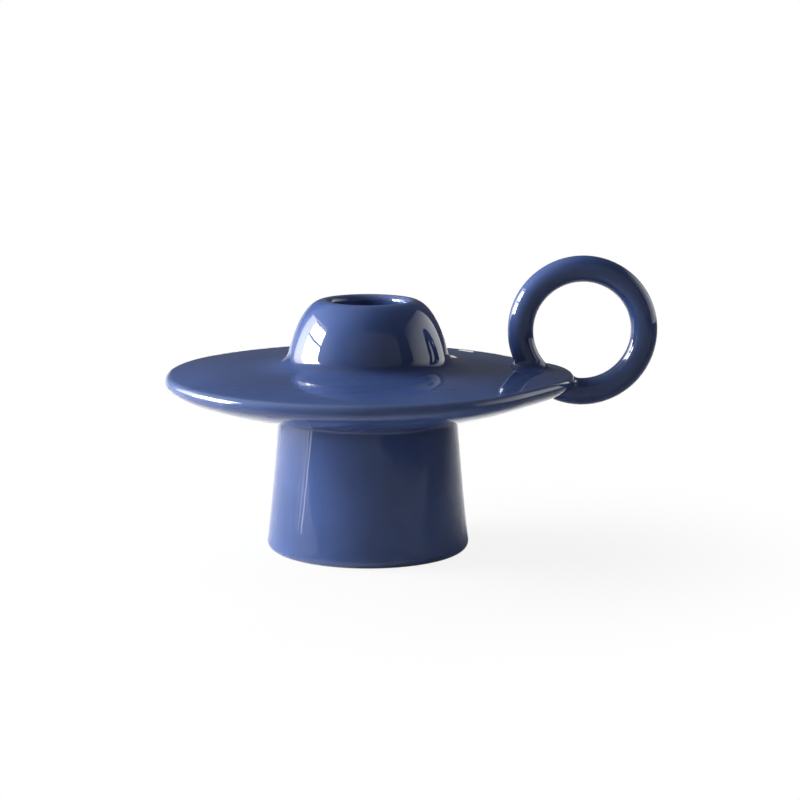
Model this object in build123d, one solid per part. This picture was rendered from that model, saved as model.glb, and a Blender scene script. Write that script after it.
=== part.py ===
from build123d import *
import math
import os

# A glazed ceramic chamberstick: a hollow tapered foot carries a brim-shaped drip plate, a dome
# round the candle socket stands in its middle, and a finger ring stands on edge at its rim.
# Millimetres, +Z up. The table is z = 0 and the origin is the middle of the footprint.
# The sizes below are taken from the foot's own axis, with the ring towards +X.

# Foot, a tapered wall that is open underneath
foot_height = 39.9
foot_base_radius = 30.2
foot_top_radius = 26.55
foot_wall = 4.2
foot_edge_round = 2.0
foot_inner_round = 0.8
foot_base_lean = 8.5
foot_top_lean = 4.75

# Drip plate, whose round lies a little off the foot's axis, away from the ring
plate_radius = 58.0
plate_offset = -2.2
plate_wall = 4.0
plate_rim_round = 2.0
plate_rim_rise = 10.95
plate_under_angle = 11.4
plate_under_turn = 20.0
plate_top_angle = 14.0
plate_edge_angle = 11.4
plate_top_pull_shares = (0.33, 0.355)

# Nose, where the rim is drawn out to meet the ring
nose_reach = 5.4
nose_radius = 35.0
nose_lift = 0.3
nose_round_share = 0.97

# Hollow inside the plate and the dome, left by casting to a wall
hollow_solid_rim = 15.0
hollow_tip_drop = 1.5
hollow_tip_round = 1.4
hollow_floor_rise = 3.4

# Dome round the socket
dome_base_radius = 23.92
dome_base_rise = 7.0
dome_rise = 16.75
dome_wall = 4.0
dome_side_shares = (0.947, 0.443)
dome_shoulder_share = 0.483
dome_inner_side_shares = (0.985, 0.45)
dome_inner_shoulder_share = 0.6

# Candle cup, bored for a dinner candle of 22 mm
bore_radius = 11.4
bore_depth = 23.0
lip_round = 1.75
cup_wall = 3.4
cup_floor = 3.6
cup_corner_round = 2.0

# Finger ring, a round tube that dips into the rim of the plate
ring_middle_radius = 18.37
ring_tube_radius = 3.92
ring_bite = 10.67
ring_sink = 3.62

# Joining slip, wiped to a hollow round in each seam, and how deep its edges run into the clay
foot_slip_round = 1.2
dome_slip_round = 2.9
slip_bury = 0.06
ring_upper_slip_round = 2.0
ring_upper_slip_rise = 1.05
horn_shares = ((1.2, -0.02), (0.5, 0.13), (0.2, 0.4), (0.0, 1.0), (-0.5, 1.6))
ring_lower_slip_thickness = 0.8
ring_lower_slip_drop = 0.6

# A cutter runs this far past what it cuts
overrun = 3.0

# Heights that follow from the sizes
rim_height = foot_height + plate_rim_rise
dome_base_height = rim_height + dome_base_rise
lip_height = dome_base_height + dome_rise

# Places along X that follow from the sizes
rim_right = plate_offset + plate_radius
nose_tip = rim_right + nose_reach
ring_x = rim_right - ring_bite + ring_middle_radius
ring_height = rim_height - ring_sink + ring_middle_radius
ring_outer_radius = ring_middle_radius + ring_tube_radius
footprint_left = plate_offset - plate_radius
footprint_right = ring_x + ring_outer_radius
footprint_middle = (footprint_left + footprint_right) / 2

# Radii that follow from the sizes
foot_inner_radius = foot_top_radius - foot_wall
dome_inner_radius = dome_base_radius - dome_wall
cup_radius = bore_radius + cup_wall
lip_crest_radius = bore_radius + lip_round


def at(radius, height):
    """A point of a section, which is drawn in the XZ plane and turned round Z."""
    return Vector(radius, 0, height)


def direction(angle):
    """The unit direction in the section at an angle in degrees above level."""
    return at(math.cos(math.radians(angle)), math.sin(math.radians(angle)))


def crossing(first, first_angle, second, second_angle):
    """Where two lines of the section cross, each given by a point and its angle."""
    a = direction(first_angle)
    b = direction(second_angle)
    gap = second - first
    along = (gap.X * b.Z - gap.Z * b.X) / (a.X * b.Z - a.Z * b.X)
    return first + a * along


def between(start, end, shares):
    """The point at the given shares of the way from start to end, across and up."""
    return at(start.X + (end.X - start.X) * shares[0], start.Z + (end.Z - start.Z) * shares[1])


def round_arc(centre, radius, first_angle, last_angle):
    """An arc of the section from its first angle to its last, in degrees."""
    middle = (first_angle + last_angle) / 2
    ends = [centre + direction(angle) * radius for angle in (first_angle, middle, last_angle)]
    return ThreePointArc(*ends)


def turned(*lines):
    """The solid that a closed section makes when it is turned round Z."""
    return revolve(make_face(Wire(list(lines))), Axis.Z)


def foot_solid():
    """The foot's wall, run up into the plate, which cuts its top to a fit."""
    outer_round = at(foot_base_radius - foot_edge_round, foot_edge_round)
    outer_arc = round_arc(outer_round, foot_edge_round, -90, foot_base_lean)
    top = at(foot_top_radius, foot_height)
    side = crossing(outer_arc @ 1, 90 + foot_base_lean, top, 90 + foot_top_lean)
    outer_wall = Bezier(outer_arc @ 1, side, top)
    buried = at(foot_top_radius, foot_height + overrun)
    inner_top = at(foot_inner_radius, foot_height + overrun)
    inner_base_radius = foot_base_radius - foot_wall
    inner_round = at(inner_base_radius + foot_inner_round, foot_inner_round)
    inner_arc = round_arc(inner_round, foot_inner_round, 180, 270)
    return turned(
        outer_arc,
        outer_wall,
        Line(top, buried),
        Line(buried, inner_top),
        Line(inner_top, inner_arc @ 0),
        inner_arc,
        Line(inner_arc @ 1, outer_arc @ 0),
    )


def plate_round():
    """The plate without its hollow: a lens with a rounded rim, about its own axis."""
    rim = at(plate_radius - plate_rim_round, rim_height)
    rim_arc = round_arc(rim, plate_rim_round, -plate_under_turn, 90 - plate_edge_angle)
    neck = at(foot_top_radius, foot_height)
    under = crossing(neck, plate_under_angle, rim_arc @ 0, 90 - plate_under_turn)
    centre = crossing(neck, plate_under_angle, at(0, foot_height), 90)
    crown = at(dome_base_radius, dome_base_height)
    run = (rim_arc @ 1 - crown).length
    inner_top = crown + direction(-plate_top_angle) * run * plate_top_pull_shares[0]
    outer_top = rim_arc @ 1 - direction(-plate_edge_angle) * run * plate_top_pull_shares[1]
    summit = crossing(crown, -plate_top_angle, at(0, crown.Z), 90)
    lens = turned(
        Line(centre, neck),
        Bezier(neck, under, rim_arc @ 0),
        rim_arc,
        Bezier(rim_arc @ 1, outer_top, inner_top, crown),
        Line(crown, summit),
        Line(summit, centre),
    )
    return Pos(plate_offset, 0, 0) * lens


def plate_nose():
    """The tongue that draws the rim out to the ring, as thick as the rim and rounded like it."""
    tip_middle = nose_tip - nose_radius
    cosine = (plate_radius - nose_radius) / (tip_middle - plate_offset)
    sine = math.sqrt(1 - cosine**2)
    root = plate_offset + plate_radius * cosine
    shoulder = tip_middle + nose_radius * cosine
    left_flank = Line((root, plate_radius * sine), (shoulder, nose_radius * sine))
    right_flank = Line((shoulder, -nose_radius * sine), (root, -plate_radius * sine))
    tip = ThreePointArc(left_flank @ 1, (nose_tip, 0), right_flank @ 0)
    back = Line(right_flank @ 1, left_flank @ 0)
    outline = make_face(Wire([left_flank, tip, right_flank, back]))
    tongue = extrude(outline, plate_rim_round, both=True)
    flat = [edge for face in tongue.faces().filter_by(Axis.Z) for edge in face.edges()]
    outer = [edge for edge in flat if edge.center().X > root + plate_rim_round / 2]
    tongue = fillet(outer, plate_rim_round * nose_round_share)
    rise = math.degrees(math.atan(nose_lift / (nose_tip - root)))
    return Pos(root, 0, rim_height) * Rot(0, -rise, 0) * Pos(-root, 0, 0) * tongue


def hollow():
    """The space inside the walls of the plate and the dome."""
    tip = at(plate_offset + plate_radius - hollow_solid_rim, rim_height - hollow_tip_drop)
    tip_arc = round_arc(tip, hollow_tip_round, -90 + plate_under_angle, 90)
    base = at(foot_inner_radius, 0)
    floor = at(foot_inner_radius, foot_height + hollow_floor_rise)
    roof = at(dome_inner_radius, dome_base_height - plate_wall)
    side = at(dome_inner_radius, dome_base_height + dome_wall / 2)
    peak = at(cup_radius, lip_height - dome_wall)
    inner_side = at(
        dome_inner_radius * dome_inner_side_shares[0],
        dome_base_height + dome_rise * dome_inner_side_shares[1],
    )
    shoulder = between(peak, side, (dome_inner_shoulder_share, 0))
    return turned(
        Line(at(0, 0), base),
        Line(base, floor),
        Line(floor, tip_arc @ 0),
        tip_arc,
        Line(tip_arc @ 1, roof),
        Line(roof, side),
        Bezier(side, inner_side, shoulder, peak),
        Line(peak, at(0, peak.Z)),
        Line(at(0, peak.Z), at(0, 0)),
    )


def crown_solid():
    """The dome with the socket's lip, solid down to inside the plate, with the bore open."""
    base = at(dome_base_radius, dome_base_height)
    crest = at(lip_crest_radius, lip_height)
    side = at(
        dome_base_radius * dome_side_shares[0],
        dome_base_height + dome_rise * dome_side_shares[1],
    )
    shoulder = between(crest, base, (dome_shoulder_share, 0))
    lip = at(lip_crest_radius, lip_height - lip_round)
    lip_arc = round_arc(lip, lip_round, 90, 180)
    buried = at(dome_base_radius, dome_base_height - overrun)
    bore_base = at(bore_radius, buried.Z)
    return turned(
        Line(bore_base, buried),
        Line(buried, base),
        Bezier(base, side, shoulder, crest),
        lip_arc,
        Line(lip_arc @ 1, bore_base),
    )


def column(radius, low, high):
    """A round column about the foot's axis from one height to another."""
    return Pos(0, 0, low) * Cylinder(radius, high - low, align=(Align.CENTER, Align.CENTER, Align.MIN))


def cup_solid(crown):
    """The cup: the middle of the crown with its lip, and a wall and floor that hang below it."""
    floor_top = lip_height - bore_depth
    floor_bottom = floor_top - cup_floor
    wall_top = lip_height - dome_wall
    outside = column(cup_radius, floor_bottom, wall_top)
    outside = fillet(outside.edges().group_by(Axis.Z)[0], cup_corner_round)
    upper = crown & column(cup_radius, wall_top, lip_height + overrun)
    return upper + (outside - column(bore_radius, floor_top, lip_height))


def ring_solid(tube_radius):
    """A whole ring on edge before the plate cuts it, with a tube of the given radius."""
    return Pos(ring_x, 0, ring_height) * Rot(90, 0, 0) * Torus(ring_middle_radius, tube_radius)


def slip_ring(corner, wall_angle, face_angle, radius):
    """A ring of slip in the corner between a wall and a face of the plate, with a hollow round."""
    half = abs(face_angle - wall_angle) / 2
    centre = corner + direction((wall_angle + face_angle) / 2) * (
        (radius - slip_bury) / math.sin(math.radians(half))
    )
    along = (centre - corner).length * math.cos(math.radians(half))
    wall_end = centre + (corner + direction(wall_angle) * along - centre).normalized() * radius
    face_end = centre + (corner + direction(face_angle) * along - centre).normalized() * radius
    into_clay = (corner - centre).normalized()
    buried = corner + into_clay * slip_bury * 2
    ring = turned(
        ThreePointArc(wall_end, centre + into_clay * radius, face_end),
        Line(face_end, buried),
        Line(buried, wall_end),
    )
    tip = math.degrees(math.atan(math.tan(math.radians(face_angle)) * plate_offset / corner.X))
    return Pos(0, 0, corner.Z) * Rot(0, tip, 0) * Pos(0, 0, -corner.Z) * ring


def dome_slip():
    """The slip between the dome's wall and the top of the plate."""
    corner = at(dome_base_radius, dome_base_height)
    side = at(
        dome_base_radius * dome_side_shares[0],
        dome_base_height + dome_rise * dome_side_shares[1],
    )
    wall_angle = math.degrees(math.atan2(side.Z - corner.Z, side.X - corner.X))
    return slip_ring(corner, wall_angle, -plate_top_angle, dome_slip_round)


def foot_slip():
    """The slip between the foot's wall and the underside of the plate."""
    corner = at(foot_top_radius, foot_height)
    return slip_ring(corner, foot_top_lean - 90, plate_under_angle, foot_slip_round)


def ring_upper_slip():
    """The slip round the ring where it stands on the top of the plate, as level sections."""
    level = rim_height + plate_rim_round + ring_upper_slip_rise
    sections = []
    for height_share, width_share in horn_shares:
        height = level + ring_upper_slip_round * height_share
        sine = (ring_height - height) / ring_middle_radius
        cosine = math.sqrt(1 - sine**2)
        flare = ring_upper_slip_round * width_share
        outline = Ellipse(ring_tube_radius / cosine + flare, ring_tube_radius + flare)
        sections.append(Pos(ring_x - ring_middle_radius * cosine, 0, height) * outline)
    return loft(sections, ruled=True)


def ring_lower_slip(plate):
    """The slip under the nose: a coat on the ring, as far as a coat on the plate reaches."""
    coated_ring = ring_solid(ring_tube_radius + ring_lower_slip_thickness)
    coated_plate = Pos(ring_lower_slip_drop, 0, -ring_lower_slip_drop) * plate
    return coated_ring & coated_plate


def save(shape, node):
    """Writes one node, moved so that the origin is the middle of the footprint."""
    export_step(Pos(-footprint_middle, 0, 0) * shape, f"parts/{node}.step")


os.makedirs("parts", exist_ok=True)

round_plate = plate_round()
whole_plate = round_plate + plate_nose()
inside = hollow()
foot = foot_solid()
crown = crown_solid()
ring = ring_solid(ring_tube_radius)
middle = column(cup_radius, 0, lip_height + overrun)

save(foot - round_plate, "pedestal_foot")
save(whole_plate - inside, "drip_plate")
save(crown - middle - round_plate - inside, "socket_dome")
save(cup_solid(crown), "candle_cup")
save(ring - whole_plate, "finger_ring")
save(foot_slip() - foot - round_plate, "foot_seam_slip")
save(dome_slip() - crown - round_plate, "dome_seam_slip")
save(ring_upper_slip() - ring - whole_plate, "ring_upper_seam_slip")
save(ring_lower_slip(whole_plate) - ring - whole_plate, "ring_lower_seam_slip")
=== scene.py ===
import math

import bmesh
import bpy
import numpy as np
from bpy.props import FloatProperty, FloatVectorProperty, PointerProperty
from mathutils import Matrix, Vector
from mathutils.bvhtree import BVHTree
from mathutils.kdtree import KDTree


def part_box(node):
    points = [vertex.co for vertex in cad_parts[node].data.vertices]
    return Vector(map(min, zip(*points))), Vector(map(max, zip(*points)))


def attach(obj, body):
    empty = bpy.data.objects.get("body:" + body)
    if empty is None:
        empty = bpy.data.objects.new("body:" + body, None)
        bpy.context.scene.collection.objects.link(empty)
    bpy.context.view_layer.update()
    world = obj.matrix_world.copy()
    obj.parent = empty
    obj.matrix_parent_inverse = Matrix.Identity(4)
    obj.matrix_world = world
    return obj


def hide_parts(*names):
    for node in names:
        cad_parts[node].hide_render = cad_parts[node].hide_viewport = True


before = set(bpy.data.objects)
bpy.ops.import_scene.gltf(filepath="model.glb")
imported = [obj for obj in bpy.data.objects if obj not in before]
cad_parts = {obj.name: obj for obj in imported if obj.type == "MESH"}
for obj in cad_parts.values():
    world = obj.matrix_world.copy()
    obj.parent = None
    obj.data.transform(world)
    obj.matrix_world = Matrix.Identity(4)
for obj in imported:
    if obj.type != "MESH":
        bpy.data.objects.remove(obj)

bl_info = {
    "name": "Chamberstick",
    "version": (1, 0, 0),
    "blender": (4, 5, 0),
    "location": "3D View > Sidebar > Chamberstick",
    "description": "Builds the glazed skin of a ceramic chamberstick over its frame, and a stage for it",
    "category": "Add Mesh",
}

MM = 0.001

# Boxes of the frame's nodes, which the sizes start from
FOOT_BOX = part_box("pedestal_foot")
PLATE_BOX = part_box("drip_plate")
CUP_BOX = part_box("candle_cup")
RING_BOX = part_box("finger_ring")
AXIS_X = (CUP_BOX[0].x + CUP_BOX[1].x) / 2
PLATE_RADIUS = (PLATE_BOX[1].y - PLATE_BOX[0].y) / 2
RIM_AXIS_X = PLATE_BOX[0].x + PLATE_RADIUS
RING_TUBE_RADIUS = (RING_BOX[1].y - RING_BOX[0].y) / 2
HAIR = 0.02 * MM

# How finely the pieces are made
POINT_STEP = 0.9 * MM
POINT_TURN = math.radians(4.0)
TURNED_SEGMENTS = 320
PLATE_SEGMENTS = 456
CUP_SEGMENTS = 256
TUBE_STEPS = 320
TUBE_SIDES = 112
SLIP_PLACES = 192
SLIP_STEPS = 12

# How far inside and below the neck the clay starts to follow the rim, which is set off to one side
SHIFT_WIDTH = 3 * MM
SHIFT_DEPTH = 8 * MM

# Settings of the ring that shape its tube, with the names that its node tree gives them
TUBE_SETTINGS = {
    "radius": "Ring Radius",
    "first_angle": "First Angle",
    "last_angle": "Last Angle",
    "tube_start": "Start Tube",
    "tube_crown": "Crown Tube",
    "tube_end": "End Tube",
}

# Shares of the ring's length at which the crown's tube begins and ends
CROWN_SHARES = (0.45, 0.55)

# Angles of the ring, in degrees, at which it is clear of the plate and well inside it
UPPER_ROOT = (170, 228)
LOWER_ROOT = (-80, -121)

# How much further than the clay's corner the back of a root's slip reaches
SLIP_OVERRUN = 1.04

# Lengths that count as nothing: between stations, between points to weld and from the axis
SAME_STATION = 1e-8
WELD = 1e-7
ON_AXIS = 1e-6

# How widely the glaze thins over edges, where its paler colour is also a painted highlight, and gathers in
# seams, and the height at which it starts
THIN_AND_HIGHLIGHT_SPREAD = 0.8 * MM
POOL_SPREAD = 1.7 * MM
ROOT_SPREAD = 0.8 * MM
BARE_HEIGHTS = (0.25 * MM, 0.55 * MM)

# Levels of a panel that shines the same all over, and of one that is a little brighter at its right
EVEN = ((1.0, 1.0), (1.0, 1.0))
NEARLY_EVEN = ((1.1, 1.1, 1.1, 1.2), (1.1, 1.1, 1.1, 1.2))


def number(name, description, default, **kind):
    """A number that a user can change."""
    return FloatProperty(name=name, description=description, default=default, **kind)


def length(name, description, default):
    """A length, in metres."""
    return number(name, description, default, unit="LENGTH", precision=5)


def degrees(name, description, default):
    """An angle, given in degrees and kept in radians."""
    return number(name, description, math.radians(default), subtype="ANGLE")


def share(name, description, default):
    """A share between nothing and all of something."""
    return number(name, description, default, min=0.0, max=1.0, subtype="FACTOR")


def colour(name, description, default):
    """A linear colour."""
    return FloatVectorProperty(name=name, description=description, default=default, size=3, subtype="COLOR")


class FootShape(bpy.types.PropertyGroup):
    """The tapered foot, which is open underneath."""
    base_radius: length("Base radius", "Widest radius, near the table", FOOT_BOX[1].x - AXIS_X)
    top_radius: length("Top radius", "Radius where the wall meets the plate", 26.55 * MM)
    height: length("Height", "Height at which the wall meets the plate", 39.9 * MM)
    wall: length("Wall", "Thickness of the clay", 4.2 * MM)
    edge_round: length("Edge round", "Round of the outer lower edge", 2.0 * MM)
    inner_round: length("Inner round", "Round of the inner lower edge", 0.8 * MM)
    base_lean: degrees("Base lean", "Lean of the wall at the table", 8.5)
    top_lean: degrees("Top lean", "Lean of the wall at the plate", 4.75)
    seam_round: length("Seam round", "Hollow round of slip under the plate", 1.2 * MM)


class PlateShape(bpy.types.PropertyGroup):
    """The brim-shaped drip plate with its nose."""
    radius: length("Radius", "Radius of the round rim", PLATE_RADIUS)
    offset: length("Offset", "How far the rim's middle lies from the foot's axis", RIM_AXIS_X - AXIS_X)
    rim_height: length("Rim height", "Height of the middle of the rim", 50.95 * MM)
    rim_round: length("Rim round", "Round of the rim", 1.9 * MM)
    under_angle: degrees("Under angle", "Rise of the underside at the foot", 11.4)
    under_turn: degrees("Under turn", "Where the underside runs into the rim's round", 22.0)
    top_angle: degrees("Top angle", "Fall of the top at the dome", 26.0)
    edge_angle: degrees("Edge angle", "Fall of the top at the rim", 11.4)
    inner_pull: share("Inner pull", "How far the top holds its fall from the dome", 0.24)
    outer_pull: share("Outer pull", "How far the top holds its fall from the rim", 0.56)
    nose_tip: length("Nose tip", "Reach of the nose from the foot's axis", PLATE_BOX[1].x - AXIS_X)
    nose_radius: length("Nose radius", "Round of the nose, seen from above", 35.0 * MM)
    nose_lift: length("Nose lift", "How far the nose rises above the rim", 0.3 * MM)
    nose_start: length("Nose start", "Radius at which the plate starts to follow the nose", 36.0 * MM)
    hollow_rim: length("Hollow rim", "Solid clay between the hollow and the rim", 15.0 * MM)
    hollow_drop: length("Hollow drop", "How far the hollow's edge lies below the rim's middle", 1.5 * MM)
    hollow_round: length("Hollow round", "Round of the hollow's edge", 1.4 * MM)
    floor_rise: length("Floor rise", "Height of the hollow's floor above the neck", 3.4 * MM)
    wall: length("Wall", "Thickness of the clay", 4.0 * MM)


class DomeShape(bpy.types.PropertyGroup):
    """The dome round the socket."""
    base_radius: length("Base radius", "Radius where the dome meets the plate", 24.0 * MM)
    base_height: length("Base height", "Height where the dome meets the plate", 57.1 * MM)
    rise: length("Rise", "Height of the lip above the base", 17.5 * MM)
    wall: length("Wall", "Thickness of the clay", 4.0 * MM)
    side_in: share("Side in", "Radius of the side's handle, as a share of the base", 0.9437)
    side_up: share("Side up", "Height of the side's handle, as a share of the rise", 0.4669)
    shoulder: share("Shoulder", "Reach of the shoulder's handle towards the base", 0.4793)
    inner_in: share("Inner in", "The side's handle inside the dome, as a share of the radius there", 0.985)
    inner_up: share("Inner up", "Height of that handle, as a share of the rise", 0.45)
    inner_shoulder: share("Inner shoulder", "Reach of the shoulder's handle inside the dome", 0.6)
    seam_round: length("Seam round", "Hollow round of slip at the plate", 4.4 * MM)


class CupShape(bpy.types.PropertyGroup):
    """The candle's cup with its rolled lip."""
    bore_radius: length("Bore radius", "Radius of the candle's bore", 11.4 * MM)
    bore_depth: length("Bore depth", "Depth below the lip", 23.0 * MM)
    lip_round: length("Lip round", "Round of the lip", 1.75 * MM)
    wall: length("Wall", "Thickness of the cup's wall", 3.4 * MM)
    floor: length("Floor", "Thickness of the cup's floor", 3.6 * MM)
    floor_round: length("Floor round", "Round where the bore meets its floor", 1.6 * MM)
    corner_round: length("Corner round", "Round of the cup's lower edge", 2.0 * MM)


class RingShape(bpy.types.PropertyGroup):
    """The finger ring and the slip at its two ends."""
    radius: length("Radius", "Radius of the tube's middle line", 18.37 * MM)
    tube_start: length("Tube at the top root", "Tube radius where the ring stands on the plate", 3.8 * MM)
    tube_crown: length("Tube at the crown", "Tube radius over the top and the right", RING_TUBE_RADIUS - HAIR)
    tube_end: length("Tube at the nose", "Tube radius under the nose", 4.0 * MM)
    first_angle: degrees("First angle", "Where the tube ends inside the plate at the top", 222.0)
    last_angle: degrees("Last angle", "Where the tube ends inside the nose below", -112.0)
    upper_slip: length("Upper slip", "Hollow round of slip on top of the plate", 1.7 * MM)
    upper_fill: length("Upper fill", "The same round inside the ring", 6.2 * MM)
    lower_slip: length("Lower slip", "Hollow round of slip under the nose", 0.9 * MM)
    lower_fill: length("Lower fill", "The same round on top of the nose", 2.6 * MM)


class GlazeFinish(bpy.types.PropertyGroup):
    """Colours and sheen of the glaze and the bare clay."""
    body: colour("Glaze", "Colour of the glaze where it lies even", (0.045, 0.078, 0.215))
    # The thin glaze's paler colour is partly real thin glaze and partly a painted highlight along the edges
    thin: colour("Thin glaze", "Colour of the glaze where it runs thin over an edge", (0.14, 0.19, 0.33))
    pooled: colour("Pooled glaze", "Colour of the glaze where it gathers in a seam", (0.022, 0.038, 0.12))
    clay: colour("Clay", "Colour of the bare clay", (0.62, 0.56, 0.47))
    dark_clay: colour("Dark clay", "Colour of the clay's darker grains", (0.48, 0.42, 0.34))
    roughness: share("Roughness", "Roughness of the glaze", 0.045)
    clay_roughness: share("Clay roughness", "Roughness of the bare clay", 0.75)
    wave: share("Wave", "Strength of the glaze's slow waviness", 0.05)


class StageSettings(bpy.types.PropertyGroup):
    """Camera, lamps and floor."""
    lens: number("Lens", "Focal length in millimetres on a 36 mm sensor", 99.63)
    distance: length("Distance", "How far in front of the part the camera stands", 0.65)
    height: length("Camera height", "Height of the camera", 0.158417)
    sideways: length("Sideways", "Camera's place along the plate", -0.000988)
    pitch: degrees("Pitch", "Downward tilt of the camera", 9.9405)
    yaw: degrees("Yaw", "Turn of the camera to the left", -0.9218)
    roll: degrees("Roll", "Roll of the camera", -0.2525)
    reach: length("Lamp distance", "How far the window and the card stand from the part", 1.2)
    level: length("Lamp level", "Height on the part that the lamps are measured from", 65 * MM)
    floor_side: length("Floor side", "Side of the square floor", 12.0)
    window: number("Window", "Radiance of the window-shaped soft light", 31.0)
    glint: number("Glint", "Radiance of the same window in reflections", 52.0)
    reveal: number("Reveal", "Radiance of the pale surround of that light", 9.0)
    wall: number("Wall", "Radiance of the lit wall and ceiling on the left", 1.0)
    card: number("Card", "Radiance of the grey card on the right", 2.3)
    streak: number("Streak", "Radiance of the fine upright strips of light beside the part", 9.0)
    room: number("Room", "Strength of the dim light from all round", 0.03)
    haze: number("Haze", "Strength of the same room in reflections", 0.09)
    front: number("Front", "Radiance of the room behind the camera in reflections", 0.34)
    far_floor: number("Far floor", "Radiance of the floor behind the part in reflections", 1.3)
    far_left: number("Far left", "Radiance of the far wall on the left in reflections", 0.7)
    far_dark: number("Far dark", "Radiance of the dark things far behind in reflections", 0.08)
    far_gap: number("Far gap", "Radiance of the gap between those things in reflections", 1.1)


def unit(rows, least=1e-20):
    """Rows brought to length one, apart from those that are shorter than the least length."""
    return rows / np.maximum(np.linalg.norm(rows, axis=1, keepdims=True), least)


class Section:
    """A stretch of a turned section: its points (radius, height) and its directions."""

    def __init__(self, points, along):
        self.points = np.asarray(points, float)
        self.along = unit(np.asarray(along, float))

    def outward(self):
        """The side that the air is on."""
        return np.stack([self.along[:, 1], -self.along[:, 0]], 1)

    def part_way(self, portion):
        """The point that lies a portion of the way through the points."""
        return self.points[int(portion * len(self.points))]

    def at(self, places):
        """The section at fractions of its point numbers."""
        numbers = np.arange(len(self.points))
        points, along = (
            np.stack([np.interp(places, numbers, rows[:, k]) for k in (0, 1)], 1)
            for rows in (self.points, self.along)
        )
        return Section(points, along)

    def cut(self, first, last):
        """The stretch between two fractions of its point numbers."""
        inner = np.arange(math.floor(first) + 1, math.ceil(last))
        return self.at(np.concatenate([[first], inner, [last]]))

    def spaced(self):
        """The same stretch with points about a step apart, and closer where it turns."""
        steps = np.linalg.norm(np.diff(self.points, axis=0), axis=1)
        stations = np.concatenate([[0.0], np.cumsum(steps)])
        cosines = np.clip(np.sum(self.along[1:] * self.along[:-1], axis=1), -1.0, 1.0)
        effort = np.diff(stations) / POINT_STEP + np.arccos(cosines) / POINT_TURN
        total = np.concatenate([[0.0], np.cumsum(effort)])
        count = max(2, round(total[-1]) + 1)
        return self.at(np.interp(np.linspace(0.0, total[-1], count), total, np.arange(len(total))))


def bezier(*handles, count=600):
    """A section along a Bezier curve."""
    along_curve = np.linspace(0.0, 1.0, count)[:, None]
    level = [np.asarray(handle, float)[None, :] + 0.0 * along_curve for handle in handles]
    while len(level) > 2:
        level = [a + (b - a) * along_curve for a, b in zip(level, level[1:])]
    along = level[1] - level[0]
    return Section(level[0] + along * along_curve, along)


def arc(centre, radius, first, last, count=120):
    """A section along an arc between two angles above level."""
    angles = np.linspace(first, last, count)
    spokes = np.stack([np.cos(angles), np.sin(angles)], 1)
    along = np.stack([-spokes[:, 1], spokes[:, 0]], 1) * math.copysign(1.0, last - first)
    return Section(np.asarray(centre) + spokes * radius, along)


def heading(angle):
    """The unit direction at an angle above level."""
    return np.array([math.cos(angle), math.sin(angle)])


def cross(first, second):
    """How far one direction of the section turns from another, as their cross product."""
    return first[0] * second[1] - first[1] * second[0]


def crossing(first, first_angle, second, second_angle):
    """Where two lines of the section cross, each given by a point and its angle."""
    a, b = heading(first_angle), heading(second_angle)
    gap = np.asarray(second) - np.asarray(first)
    return np.asarray(first) + a * cross(gap, b) / cross(a, b)


def hollow_round(first, second, radius):
    """The round of slip that touches two sections, with the places where it leaves them."""
    one = first.points + first.outward() * radius
    two = second.points + second.outward() * radius
    gaps = np.linalg.norm(one[:, None, :] - two[None, :, :], axis=2)
    i, j = np.unravel_index(np.argmin(gaps), gaps.shape)
    i, j = min(i, len(one) - 2), min(j, len(two) - 2)
    a, b = one[i + 1] - one[i], two[j + 1] - two[j]
    gap = two[j] - one[i]
    on_first = i + cross(gap, b) / cross(a, b)
    on_second = j + cross(gap, a) / cross(a, b)
    start, end = first.at([on_first]), second.at([on_second])
    centre = start.points[0] + start.outward()[0] * radius
    first_angle, last_angle = (math.atan2(*-place.outward()[0][::-1]) for place in (start, end))
    turn = (last_angle - first_angle + math.pi) % (math.tau) - math.pi
    return arc(centre, radius, first_angle, first_angle + turn, count=40), on_first, on_second


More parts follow.
